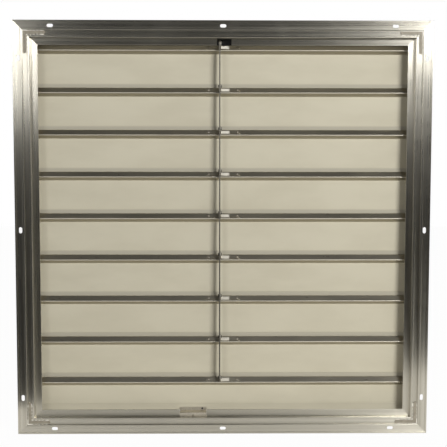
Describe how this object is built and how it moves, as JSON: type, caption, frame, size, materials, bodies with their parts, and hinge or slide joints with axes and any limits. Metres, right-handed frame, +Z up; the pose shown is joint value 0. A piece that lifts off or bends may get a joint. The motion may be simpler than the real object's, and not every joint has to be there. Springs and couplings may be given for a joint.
{
  "type": "exhaust shutter",
  "caption": "Square wall shutter for an exhaust fan: a mitred extruded frame with folded blades that hang from pivots and swing open together on a tie bar.",
  "frame": {"origin": "middle of the opening, in the plane of the flange's back face, which lies on the wall", "axes": "+X across to the right seen from the flange side, +Y along the air flow from the flange to the body, +Z up"},
  "size_m": [1.003, 0.0585, 1.003],
  "materials": {
    "frame_aluminium": "bright mill finish with die lines along each length",
    "key_aluminium": "dull sawn and stamped",
    "blade_aluminium": "satin mill sheet",
    "bar_aluminium": "mill finish flat bar",
    "bracket_steel": "zinc plated",
    "clip_steel": "zinc plated",
    "pin_steel": "drawn rod",
    "tie_pin_steel": "blackened",
    "rivet_aluminium": "domed, bright",
    "stop_paint": "matt black",
    "bush_nylon": "black nylon",
    "bumper_rubber": "black"
  },
  "bodies": {
    "frame_body": {"frame_top": "frame_aluminium", "frame_bottom": "frame_aluminium", "frame_left": "frame_aluminium", "frame_right": "frame_aluminium", "corner_key_top_left": "key_aluminium", "corner_key_top_right": "key_aluminium", "corner_key_bottom_left": "key_aluminium", "corner_key_bottom_right": "key_aluminium", "bushes_left": "bush_nylon", "bushes_right": "bush_nylon", "stop_clip": "clip_steel", "stop_bumper": "bumper_rubber", "head_stop": "stop_paint", "frame_rivets": "rivet_aluminium"},
    "leaf_1": {"blade_1": "blade_aluminium", "pivot_pins_1": "pin_steel", "bracket_1": "bracket_steel", "bracket_rivets_1": "rivet_aluminium", "tie_pin_1": "tie_pin_steel"},
    "leaf_2": {"blade_2": "blade_aluminium", "pivot_pins_2": "pin_steel", "bracket_2": "bracket_steel", "bracket_rivets_2": "rivet_aluminium", "tie_pin_2": "tie_pin_steel"},
    "leaf_3": {"blade_3": "blade_aluminium", "pivot_pins_3": "pin_steel", "bracket_3": "bracket_steel", "bracket_rivets_3": "rivet_aluminium", "tie_pin_3": "tie_pin_steel"},
    "leaf_4": {"blade_4": "blade_aluminium", "pivot_pins_4": "pin_steel", "bracket_4": "bracket_steel", "bracket_rivets_4": "rivet_aluminium", "tie_pin_4": "tie_pin_steel"},
    "leaf_5": {"blade_5": "blade_aluminium", "pivot_pins_5": "pin_steel", "bracket_5": "bracket_steel", "bracket_rivets_5": "rivet_aluminium", "tie_pin_5": "tie_pin_steel"},
    "leaf_6": {"blade_6": "blade_aluminium", "pivot_pins_6": "pin_steel", "bracket_6": "bracket_steel", "bracket_rivets_6": "rivet_aluminium", "tie_pin_6": "tie_pin_steel"},
    "leaf_7": {"blade_7": "blade_aluminium", "pivot_pins_7": "pin_steel", "bracket_7": "bracket_steel", "bracket_rivets_7": "rivet_aluminium", "tie_pin_7": "tie_pin_steel"},
    "leaf_8": {"blade_8": "blade_aluminium", "pivot_pins_8": "pin_steel", "bracket_8": "bracket_steel", "bracket_rivets_8": "rivet_aluminium", "tie_pin_8": "tie_pin_steel"},
    "leaf_9": {"blade_9": "blade_aluminium", "pivot_pins_9": "pin_steel", "bracket_9": "bracket_steel", "bracket_rivets_9": "rivet_aluminium", "tie_pin_9": "tie_pin_steel"},
    "bar_body": {"tie_bar": "bar_aluminium"}
  },
  "joints": [
    {"name": "leaf_1_swing", "type": "hinge", "parent": "frame_body", "child": "leaf_1", "pos_m": [0, 0.0295, 0.437], "axis": [1, 0, 0], "range_deg": [0, 70]},
    {"name": "leaf_2_swing", "type": "hinge", "parent": "frame_body", "child": "leaf_2", "pos_m": [0, 0.0295, 0.3354], "axis": [1, 0, 0], "range_deg": [0, 70]},
    {"name": "leaf_3_swing", "type": "hinge", "parent": "frame_body", "child": "leaf_3", "pos_m": [0, 0.0295, 0.2338], "axis": [1, 0, 0], "range_deg": [0, 70]},
    {"name": "leaf_4_swing", "type": "hinge", "parent": "frame_body", "child": "leaf_4", "pos_m": [0, 0.0295, 0.1322], "axis": [1, 0, 0], "range_deg": [0, 70]},
    {"name": "leaf_5_swing", "type": "hinge", "parent": "frame_body", "child": "leaf_5", "pos_m": [0, 0.0295, 0.0306], "axis": [1, 0, 0], "range_deg": [0, 70]},
    {"name": "leaf_6_swing", "type": "hinge", "parent": "frame_body", "child": "leaf_6", "pos_m": [0, 0.0295, -0.071], "axis": [1, 0, 0], "range_deg": [0, 70]},
    {"name": "leaf_7_swing", "type": "hinge", "parent": "frame_body", "child": "leaf_7", "pos_m": [0, 0.0295, -0.1726], "axis": [1, 0, 0], "range_deg": [0, 70]},
    {"name": "leaf_8_swing", "type": "hinge", "parent": "frame_body", "child": "leaf_8", "pos_m": [0, 0.0295, -0.2742], "axis": [1, 0, 0], "range_deg": [0, 70]},
    {"name": "leaf_9_swing", "type": "hinge", "parent": "frame_body", "child": "leaf_9", "pos_m": [0, 0.0295, -0.3758], "axis": [1, 0, 0], "range_deg": [0, 70]},
    {"name": "bar_turn", "type": "hinge", "parent": "leaf_1", "child": "bar_body", "pos_m": [-0.008, 0.0125, 0.448], "axis": [1, 0, 0], "range_deg": [-70, 0]}
  ],
  "couplings": [
    {"joint": "leaf_2_swing", "follows": "leaf_1_swing", "ratio": 1},
    {"joint": "leaf_3_swing", "follows": "leaf_1_swing", "ratio": 1},
    {"joint": "leaf_4_swing", "follows": "leaf_1_swing", "ratio": 1},
    {"joint": "leaf_5_swing", "follows": "leaf_1_swing", "ratio": 1},
    {"joint": "leaf_6_swing", "follows": "leaf_1_swing", "ratio": 1},
    {"joint": "leaf_7_swing", "follows": "leaf_1_swing", "ratio": 1},
    {"joint": "leaf_8_swing", "follows": "leaf_1_swing", "ratio": 1},
    {"joint": "leaf_9_swing", "follows": "leaf_1_swing", "ratio": 1},
    {"joint": "bar_turn", "follows": "leaf_1_swing", "ratio": -1}
  ]
}
